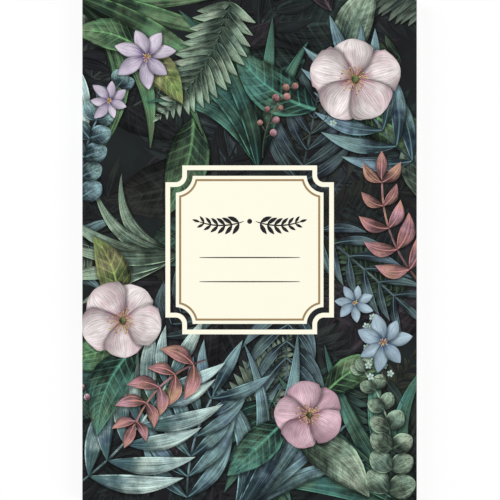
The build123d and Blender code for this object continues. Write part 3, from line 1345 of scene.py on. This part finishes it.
def leafStackTree():
    tree = bpy.data.node_groups.new("leafStack", "GeometryNodeTree")
    kinds = dict.fromkeys(("Root", "Fore", "Foot", "Head", "Lowest", "Paper", "Pitch", "Ragged"), "Float")
    kinds.update({"Leaves": "Int", "Divisions": "Int", "Seed": "Int", "Stock": "Material"})
    sockets = {name: tree.interface.new_socket(name=name, in_out="INPUT", socket_type=f"NodeSocket{kind}")
               for name, kind in kinds.items()}
    tree.interface.new_socket(name="Geometry", in_out="OUTPUT", socket_type="NodeSocketGeometry")
    start = Wire(tree)
    given = tree.nodes.new("NodeGroupInput")
    take = {name: Wire(tree, given.outputs[name]) for name in kinds}
    # one sheet, with closer points near the gutter
    sheet = start.node("GeometryNodeMeshCube", Size=(1.0, 1.0, 1.0), Vertices_X=take["Divisions"],
                       Vertices_Y=2, Vertices_Z=2)
    x, y, z = start.node("GeometryNodeInputPosition").parts()
    wide = take["Fore"] - take["Root"]
    tall = take["Head"] - take["Foot"]
    spot = start.vector(take["Root"] + wide * (x + 0.5) ** leafStock["crowding"],
                        take["Foot"] + tall * (y + 0.5), take["Paper"] * (z + 0.5))
    sheet = start.node("GeometryNodeSetPosition", Geometry=sheet, Position=spot)
    # the stack
    low, step = start.vector(z=take["Lowest"]), start.vector(z=take["Pitch"])
    line = start.node("GeometryNodeMeshLine", Count=take["Leaves"], Start_Location=low, Offset=step)
    stack = start.node("GeometryNodeInstanceOnPoints", Points=line, Instance=sheet)
    chance = start.node("FunctionNodeRandomValue", {"data_type": "FLOAT"}, 1,
                        at2=0.0, at3=1.0, at8=take["Seed"])
    stack = start.node("GeometryNodeStoreNamedAttribute", {"data_type": "FLOAT", "domain": "INSTANCE"},
                       Geometry=stack, Name="sheetTone", Value=chance)
    stack = start.node("GeometryNodeRealizeInstances", Geometry=stack)
    # each sheet stops a hair short of the trim
    tone = start.node("GeometryNodeInputNamedAttribute", {"data_type": "FLOAT"}, Name="sheetTone")
    x, y, z = start.node("GeometryNodeInputPosition").parts()
    short = take["Ragged"] * tone
    trim = start.vector(0.0 - short * (x - take["Root"]) / wide, 0.0 - short * y / take["Head"])
    stack = start.node("GeometryNodeSetPosition", Geometry=stack, Offset=trim)
    rest = start.node("GeometryNodeInputPosition").scaled(1.0 / mm)
    stack = start.node("GeometryNodeStoreNamedAttribute", {"data_type": "FLOAT_VECTOR", "domain": "POINT"},
                       Geometry=stack, Name="restAt", Value=rest)
    stack = start.node("GeometryNodeSetMaterial", Geometry=stack, Material=take["Stock"])
    made = tree.nodes.new("NodeGroupOutput")
    tree.links.new(stack.socket, made.inputs[0])
    return tree, {name: socket.identifier for name, socket in sockets.items()}


leafTree, leafInputs = leafStackTree()
paperMaterial = newMaterial("pagePaper", leafLook, pagePaper)
sections = [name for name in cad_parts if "leaves" in name]
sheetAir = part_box(sections[0])[0].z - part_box(sections[1])[1].z


def leafSection(name, seed):
    low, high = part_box(name)
    pitch = (high.z - low.z + sheetAir) / leafStock["leaves"]
    values = {"Root": low.x, "Fore": high.x, "Foot": low.y, "Head": high.y, "Lowest": low.z,
              "Paper": pitch - sheetAir, "Pitch": pitch, "Ragged": leafStock["ragged"],
              "Leaves": leafStock["leaves"], "Divisions": leafStock["divisions"], "Seed": seed,
              "Stock": paperMaterial}
    piece = newPiece(name.replace("_", "") + "Stack", bpy.data.meshes.new(name), [])
    modifier = piece.modifiers.new("leafStack", "NODES")
    modifier.node_group = leafTree
    for key, value in values.items():
        modifier[leafInputs[key]] = value
    graph = bpy.context.evaluated_depsgraph_get()
    mesh = bpy.data.meshes.new_from_object(piece.evaluated_get(graph), depsgraph=graph)
    piece.modifiers.clear()
    piece.data = mesh
    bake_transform(piece)
    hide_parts(name)


for place, section in enumerate(sections):
    leafSection(section, leafStock["seed"] + place)
print("leaf sections:", len(sections))


# floor, light and camera

white = (1.0, 1.0, 1.0)
studio = {
    "worldLevel": 0.2,
    "keyFrom": (-1.0, 0.55, 0.75),
    "keyPower": 55.0,
    "fillFrom": (1.0, -0.35, 0.75),
    "fillPower": 39.5,
    "lampSize": 1.6,
    "lampFar": 2.4,
    "floorGlow": 0.88,
    "floorReach": 6.0,
    "floorGap": 0.00005,  # under the book
}
floorLook = {"Base Color": white, "Roughness": 0.9, "Specular IOR Level": 0.0}


def studioFloor():
    material = newMaterial("studioFloor", floorLook)
    tree = material.node_tree
    start = Wire(tree)
    path = tree.nodes.new("ShaderNodeLightPath")
    camera, glossy, through = (Wire(tree, path.outputs[f"Is {ray} Ray"])
                               for ray in ("Camera", "Glossy", "Transmission"))
    seen = start.maths("MAXIMUM", start.maths("MAXIMUM", camera, glossy), through)
    glow = start.node("ShaderNodeEmission", Color=white, Strength=1.0)
    lit = Wire(tree, tree.nodes["Principled BSDF"].outputs[0])
    both = start.node("ShaderNodeMixShader", at0=seen * studio["floorGlow"], at1=lit, at2=glow)
    tree.links.new(both.socket, tree.nodes["Material Output"].inputs["Surface"])
    reach, level = studio["floorReach"], cadLow.z - studio["floorGap"]
    corners = [(x * reach, y * reach, level) for x, y in ((-1, -1), (1, -1), (1, 1), (-1, 1))]
    mesh = bpy.data.meshes.new("studioFloor")
    mesh.from_pydata(corners, [], [[0, 1, 2, 3]])
    newPiece("studioFloor", mesh, [material])


def studioLamp(name, direction, power):
    lamp = bpy.data.lights.new(name, "AREA")
    lamp.shape = "SQUARE"
    lamp.size = studio["lampSize"]
    lamp.energy = power
    stand = bpy.data.objects.new(name, lamp)
    stand.location = Vector(direction).normalized() * studio["lampFar"]
    stand.rotation_euler = (-stand.location).to_track_quat("-Z", "Y").to_euler()
    bpy.context.scene.collection.objects.link(stand)


def studioWorld():
    world = bpy.data.worlds.new("studioWorld")
    world.use_nodes = True
    sky = world.node_tree.nodes["Background"]
    sky.inputs["Color"].default_value = (*white, 1.0)
    sky.inputs["Strength"].default_value = studio["worldLevel"]
    bpy.context.scene.world = world


studioFloor()
studioLamp("keyLamp", studio["keyFrom"], studio["keyPower"])
studioLamp("fillLamp", studio["fillFrom"], studio["fillPower"])
studioWorld()

camera = {
    "lens": 200.0,
    "sensor": 36.0,
    "clip": (0.01, 20.0),
    "frameTall": 227.8,  # of the cover that the picture takes in, just inside its trim
    "across": 0.23,
}
lens = bpy.data.cameras.new("frontCamera")
lens.lens = camera["lens"]
lens.sensor_width = camera["sensor"]
lens.clip_start, lens.clip_end = camera["clip"]
lookDown = bpy.data.objects.new("frontCamera", lens)
far = camera["frameTall"] * camera["lens"] / camera["sensor"]
lookDown.location = (camera["across"] * mm, 0.0, (book["tall"] + far) * mm)
bpy.context.scene.collection.objects.link(lookDown)
bpy.context.scene.camera = lookDown
bpy.context.scene.view_settings.view_transform = "Standard"
print("floor, lamps and camera set")
